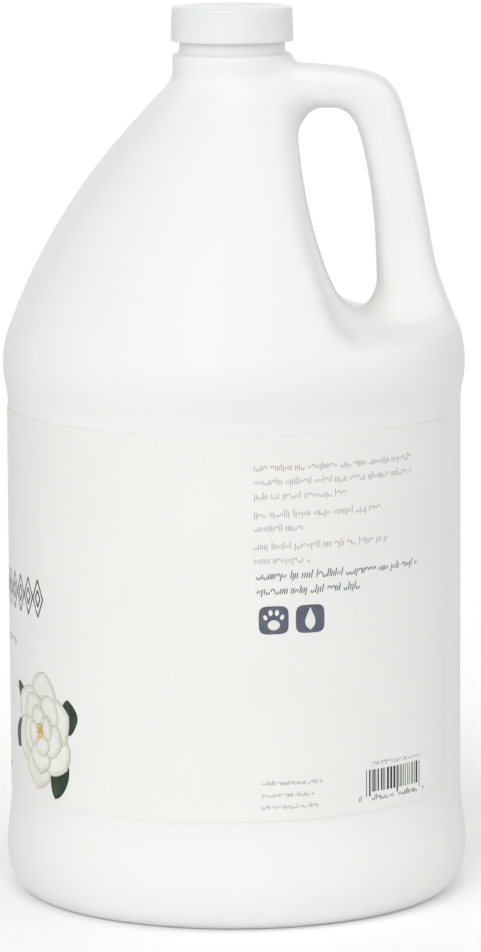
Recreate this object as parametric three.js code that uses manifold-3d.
// A one-gallon blow-moulded shampoo jug with an integral through handle, a 38 mm continuous-thread
// screw cap, the cap's liner, the foil seal over the mouth, a wrap-round label and the shampoo.
//
// Units are millimetres. The origin is the centre of the standing plane, +Z is up, +X points
// towards the handle, and -X is the middle of the label. The mould closes on the XZ plane.
import * as THREE from "three";
import { mergeVertices } from "three/addons/utils/BufferGeometryUtils.js";
import Module from "manifold-3d";

const wasm = await Module();
wasm.setup();

// ---- Driving dimensions -------------------------------------------------------------------
const SEGMENTS = 48; // facets round the jug; the label's facets lie on the same angles
const WALL = 1.0; // moulded wall of the body and handle
const TURN = 2 * Math.PI;
const DEGREE = TURN / 360;

const body = {
  standingRadius: 68.8, // outer edge of the ring that the jug stands on
  standingWidth: 5,
  pushUp: 7, // height of the recessed middle of the base
  heelHeight: 14,
  baseRadius: 77.5, // widest point, just above the heel
  panelRadius: 75.75, // label panel
  panelBottom: 35,
  panelTop: 165,
  shoulderRadius: 77.1, // bulge above the label panel
  shoulderHeight: 178,
  shoulderArc: 34,
  shoulderSlope: 20 * DEGREE, // where the shoulder's arc meets the dome's
  domeArc: 200,
  coneSlope: 42.6 * DEGREE, // of the cone under the neck
};

const neck = {
  ringRadius: 19.7, // collar below the thread
  ringFillet: 8,
  ringCorner: 1.4,
  ringTop: 281,
  wallRadius: 17.45, // thread root
  bore: 15.3,
  land: 294.1, // top rim of the neck
  landRound: 0.5,
  boreBottom: 276,
};

const handle = { width: 21, flat: 5, bevel: 5.5 };

const thread = {
  pitch: 25.4 / 6, // six threads to the inch
  turns: 1.25,
  start: 286.5, // middle of the neck thread's lower end
  crest: 18.6,
  crestWidth: 1.0,
  rootWidth: 2.2,
  capCrest: 17.9,
  capStart: 286.6,
  capDrop: 1.75, // the cap's ridge runs this far below the neck's
  fade: 24 * DEGREE, // each end fades out over this angle
  stepsPerTurn: 48,
};

const cap = {
  top: 296.5,
  bottom: 285,
  topRadius: 19.9,
  bottomRadius: 20.35,
  bore: 19.1,
  roof: 1.3,
  edgeRound: 0.8,
};

const liner = { radius: 18.9, thickness: 0.8 };
const seal = { radius: 17.3, thickness: 0.15 };
const STACK_GAP = 0.05; // between the land, the seal, the liner and the cap's roof

const label = {
  bottom: 36.5,
  top: 163.5,
  thickness: 0.2,
  gap: 0.1,
  gapHalfAngle: 22.5 * DEGREE, // bare panel on each side of the handle's plane
};

const fill = { level: 242, clearance: 0.4 };

// ---- Materials ----------------------------------------------------------------------------
const material = (colour, roughness, metalness = 0) =>
  new THREE.MeshStandardMaterial({ color: colour, roughness, metalness });

const materials = {
  bottle: material(0xf2f2f1, 0.38),
  cap: material(0xefefef, 0.32),
  liner: material(0xe9e6dd, 0.8),
  seal: material(0xc9cbcd, 0.25, 1),
  label: material(0xf1f2ec, 0.45),
  shampoo: material(0xf3ecd8, 0.15),
};

// ---- Solids -------------------------------------------------------------------------------
// A closed three.js geometry as a manifold-3d solid.
function solid(geometry) {
  const bare = geometry.clone();
  bare.deleteAttribute("normal");
  bare.deleteAttribute("uv");
  const merged = mergeVertices(bare, 1e-4);
  return new wasm.Manifold(
    new wasm.Mesh({
      numProp: 3,
      vertProperties: new Float32Array(merged.attributes.position.array),
      triVerts: new Uint32Array(merged.index.array),
    }),
  );
}

// A manifold-3d solid as a three.js geometry.
function geometryOf(made) {
  const mesh = made.getMesh();
  const geometry = new THREE.BufferGeometry();
  geometry.setAttribute("position", new THREE.BufferAttribute(mesh.vertProperties, 3));
  geometry.setIndex(new THREE.BufferAttribute(mesh.triVerts, 1));
  return geometry;
}

// A solid of revolution about Z from points (radius, height), which run up the outside of the shape.
function revolve(points) {
  return new THREE.LatheGeometry(points, SEGMENTS).rotateX(Math.PI / 2);
}

// A shape drawn in the XZ plane, extruded to `width` across Y and centred on that plane.
function extrudeAcross(shape, width, options = {}) {
  const bevel = options.bevel ?? 0;
  const flat = options.flat ?? width;
  return new THREE.ExtrudeGeometry(shape, {
    depth: flat,
    curveSegments: 1,
    bevelEnabled: bevel > 0,
    bevelSegments: 3,
    bevelSize: bevel,
    bevelOffset: -bevel,
    bevelThickness: (width - flat) / 2,
  })
    .translate(0, 0, -flat / 2)
    .rotateX(Math.PI / 2);
}

// Moves a line of points sideways by `distance`, to the left of its direction. Ends of an open
// line move along their own normal.
function offset(points, distance, closed = false) {
  const count = points.length;
  const last = count - 1;
  return points.map((point, i) => {
    const before = points[closed ? (i + last) % count : Math.max(i - 1, 0)];
    const after = points[closed ? (i + 1) % count : Math.min(i + 1, last)];
    const into = point.clone().sub(before).normalize();
    const out = after.clone().sub(point).normalize();
    const along = into.clone().add(out).normalize();
    const normal = new THREE.Vector2(-along.y, along.x);
    const stretch = into.lengthSq() && out.lengthSq() ? into.dot(along) : 1;
    return point.clone().addScaledVector(normal, distance / stretch);
  });
}

// ---- The jug's outline in the XZ plane ----------------------------------------------------
// The body from the middle of the base, out and up to the fillet under the neck's collar.
function bodyOutline() {
  const b = body;
  const ringInner = b.standingRadius - b.standingWidth;
  const path = new THREE.Path();
  path.moveTo(0, b.pushUp);
  path.bezierCurveTo(ringInner * 0.6, b.pushUp, ringInner * 0.9, b.pushUp * 0.6, ringInner, 0);
  path.lineTo(b.standingRadius, 0);
  const heelWidth = b.baseRadius - b.standingRadius;
  path.absellipse(b.standingRadius, b.heelHeight, heelWidth, b.heelHeight, -Math.PI / 2, 0, false);
  path.bezierCurveTo(
    b.baseRadius, b.heelHeight + 8,
    b.panelRadius, b.panelBottom - 9,
    b.panelRadius, b.panelBottom,
  );
  path.lineTo(b.panelRadius, b.panelTop);
  path.bezierCurveTo(
    b.panelRadius, b.panelTop + 5,
    b.shoulderRadius, b.shoulderHeight - 6,
    b.shoulderRadius, b.shoulderHeight,
  );
  const shoulderX = b.shoulderRadius - b.shoulderArc;
  path.absarc(shoulderX, b.shoulderHeight, b.shoulderArc, 0, b.shoulderSlope, false);
  const domeX = shoulderX - (b.domeArc - b.shoulderArc) * Math.cos(b.shoulderSlope);
  const domeZ = b.shoulderHeight - (b.domeArc - b.shoulderArc) * Math.sin(b.shoulderSlope);
  path.absarc(domeX, domeZ, b.domeArc, b.shoulderSlope, b.coneSlope, false);
  const coneX = domeX + b.domeArc * Math.cos(b.coneSlope);
  const coneZ = domeZ + b.domeArc * Math.sin(b.coneSlope);
  // The cone runs up to the fillet, which turns it upright at the collar's radius.
  const filletX = neck.ringRadius + neck.ringFillet;
  const tangentX = filletX - neck.ringFillet * Math.cos(b.coneSlope);
  const tangentZ = coneZ + (coneX - tangentX) / Math.tan(b.coneSlope);
  const filletZ = tangentZ + neck.ringFillet * Math.sin(b.coneSlope);
  path.lineTo(tangentX, tangentZ);
  path.absarc(filletX, filletZ, neck.ringFillet, Math.PI + b.coneSlope, Math.PI, true);
  return samplePath(path, 3);
}

// A path's points, with `divisions` steps on each curve.
function samplePath(path, divisions) {
  return path.getPoints(divisions).filter((p, i, all) => i === 0 || p.distanceTo(all[i - 1]) > 1e-3);
}

// The collar, the neck and its rim, from the end of the body's outline to the axis.
function neckOutline() {
  const n = neck;
  const path = new THREE.Path();
  path.moveTo(n.ringRadius, n.ringTop - n.ringCorner);
  path.absarc(n.ringRadius - n.ringCorner, n.ringTop - n.ringCorner, n.ringCorner, 0, Math.PI / 2, false);
  path.lineTo(n.wallRadius, n.ringTop);
  path.lineTo(n.wallRadius, n.land - n.landRound);
  path.absarc(n.wallRadius - n.landRound, n.land - n.landRound, n.landRound, 0, Math.PI / 2, false);
  path.lineTo(0, n.land);
  return samplePath(path, 2);
}

// The bore, from the end of the hollow body's outline to the axis above the rim.
function boreOutline() {
  const above = neck.land + 1;
  return [
    new THREE.Vector2(neck.bore, neck.boreBottom),
    new THREE.Vector2(neck.bore, above),
    new THREE.Vector2(0, above),
  ];
}

// The dome is cut away, right across, where fingers go through: the cut's wall stands beside the
// grip and its floor is a shelf on the shoulder.
function recessOutline() {
  const path = new THREE.Path();
  path.moveTo(95, 300);
  path.lineTo(23.5, 300);
  path.lineTo(22.5, 270);
  path.bezierCurveTo(21, 248, 23, 228, 31.5, 207);
  path.bezierCurveTo(34.5, 199, 38, 194.6, 43, 194.4);
  path.lineTo(68, 193.4);
  path.lineTo(95, 186);
  return samplePath(path, 5);
}

// The grip and its two arms, whose ends are buried in the neck and in the shoulder.
function handleOutline() {
  const path = new THREE.Path();
  path.moveTo(4, 277.6);
  path.lineTo(27, 277.4);
  path.lineTo(43.5, 275.2);
  path.bezierCurveTo(51.5, 274.2, 55, 269.5, 57.2, 261.5);
  path.bezierCurveTo(61.5, 245, 64.5, 228, 66.6, 215);
  path.bezierCurveTo(67.8, 208, 70.5, 201.5, 72.5, 196);
  path.lineTo(66, 174);
  path.lineTo(14, 174);
  path.lineTo(14, 190);
  path.lineTo(36, 194.6);
  path.bezierCurveTo(44.5, 196, 47.3, 199, 47.5, 206);
  path.bezierCurveTo(48.2, 220, 47, 237, 42.5, 253);
  path.bezierCurveTo(40.5, 259.5, 37, 262.6, 31.5, 262.6);
  path.bezierCurveTo(26, 262.6, 22, 259, 21, 251);
  path.lineTo(4, 251);
  return samplePath(path, 4);
}

// ---- The jug ------------------------------------------------------------------------------
// The jug's whole outside at inset 0, or the space that lies `inset` inside it.
function jugForm(inset) {
  const outline = offset(bodyOutline(), inset);
  outline[0].x = 0;
  const above = inset > 0 ? boreOutline() : neckOutline();
  const round = solid(revolve([...outline, ...above]));
  const recess = new THREE.Shape(offset(recessOutline(), -inset, true));
  const cut = solid(extrudeAcross(recess, 4 * body.baseRadius)); // right across the jug
  const grip = new THREE.Shape(offset(handleOutline(), -inset, true));
  const loop = extrudeAcross(grip, handle.width - 2 * inset, {
    flat: handle.flat,
    bevel: handle.bevel - inset / 2,
  });
  return round.subtract(cut).add(solid(loop));
}

// A helical ridge: a straight bar of trapezoid section, wound up round Z. `root` and `crest` are
// radii, so a crest inside the root makes an inward ridge. Its ends fade into the root.
function helicalRidge({ root, crest, start, startAngle }) {
  const t = thread;
  const embed = 0.5 * Math.sign(root - crest); // how far the bar's foot goes into the wall
  const section = new THREE.Shape([
    new THREE.Vector2(-1, -t.rootWidth / 2),
    new THREE.Vector2(0, -t.rootWidth / 2),
    new THREE.Vector2(1, -t.crestWidth / 2),
    new THREE.Vector2(1, t.crestWidth / 2),
    new THREE.Vector2(0, t.rootWidth / 2),
    new THREE.Vector2(-1, t.rootWidth / 2),
  ]);
  const sweep = t.turns * TURN;
  const steps = Math.round(t.turns * t.stepsPerTurn);
  const bar = new THREE.ExtrudeGeometry(section, { depth: sweep, steps, bevelEnabled: false });
  const position = bar.attributes.position;
  for (let i = 0; i < position.count; i++) {
    // Winding the bar mirrors it if it stands outwards, so that one is wound from its other end.
    const along = position.getZ(i);
    const angle = crest > root ? sweep - along : along;
    const rise = position.getX(i);
    const fade = Math.min(1, angle / t.fade, (sweep - angle) / t.fade);
    const height = (crest - root) * (0.12 + 0.88 * fade);
    const radius = rise < 0 ? root + embed : root + rise * height;
    const z = start + position.getY(i) * (0.5 + 0.5 * fade) + (t.pitch * angle) / TURN;
    position.setXYZ(
      i,
      radius * Math.cos(startAngle + angle),
      radius * Math.sin(startAngle + angle),
      z,
    );
  }
  return solid(bar);
}

function bottle() {
  const ridge = helicalRidge({
    root: neck.wallRadius,
    crest: thread.crest,
    start: thread.start,
    startAngle: 0,
  });
  return geometryOf(jugForm(0).add(ridge).subtract(jugForm(WALL)));
}

// ---- The closure --------------------------------------------------------------------------
function screwCap() {
  const c = cap;
  const path = new THREE.Path();
  path.moveTo(0, c.top - c.roof);
  path.lineTo(c.bore, c.top - c.roof);
  path.lineTo(c.bore, c.bottom);
  path.lineTo(c.bottomRadius, c.bottom);
  path.lineTo(c.topRadius, c.top - c.edgeRound);
  path.absarc(c.topRadius - c.edgeRound, c.top - c.edgeRound, c.edgeRound, 0, Math.PI / 2, false);
  path.lineTo(0, c.top);
  const shell = solid(revolve(samplePath(path, 4)));
  // The cap's ridge lies on the neck's helix, moved down: its start angle is where that helix
  // reaches the height at which the ridge starts.
  const climb = thread.capStart - (thread.start - thread.capDrop);
  const ridge = helicalRidge({
    root: c.bore,
    crest: thread.capCrest,
    start: thread.capStart,
    startAngle: (climb / thread.pitch) * TURN,
  });
  return geometryOf(shell.add(ridge));
}

function disc(radius, bottom, thickness) {
  return new THREE.CylinderGeometry(radius, radius, thickness, SEGMENTS)
    .rotateX(Math.PI / 2)
    .translate(0, 0, bottom + thickness / 2);
}

// ---- The label and the contents -----------------------------------------------------------
function wrapLabel() {
  const inner = body.panelRadius + label.gap;
  const outer = inner + label.thickness;
  const from = label.gapHalfAngle;
  const to = TURN - label.gapHalfAngle;
  const shape = new THREE.Shape();
  shape.absarc(0, 0, outer, from, to, false);
  shape.absarc(0, 0, inner, to, from, true);
  return new THREE.ExtrudeGeometry(shape, {
    depth: label.top - label.bottom,
    curveSegments: Math.round(((to - from) / TURN) * SEGMENTS),
    bevelEnabled: false,
  }).translate(0, 0, label.bottom);
}

function contents() {
  const wide = 4 * body.baseRadius;
  const below = new THREE.BoxGeometry(wide, wide, fill.level).translate(0, 0, fill.level / 2);
  return geometryOf(jugForm(WALL + fill.clearance).intersect(solid(below)));
}

// ---- The assembly -------------------------------------------------------------------------
const jug = new THREE.Group();

function place(name, geometry, finish) {
  const mesh = new THREE.Mesh(geometry, finish);
  mesh.name = name;
  jug.add(mesh);
}

const sealBottom = neck.land + STACK_GAP;
const linerBottom = cap.top - cap.roof - STACK_GAP - liner.thickness;
place("bottle", bottle(), materials.bottle);
place("screw_cap", screwCap(), materials.cap);
place("cap_liner", disc(liner.radius, linerBottom, liner.thickness), materials.liner);
place("foil_seal", disc(seal.radius, sealBottom, seal.thickness), materials.seal);
place("wrap_label", wrapLabel(), materials.label);
place("shampoo", contents(), materials.shampoo);

export default jug;
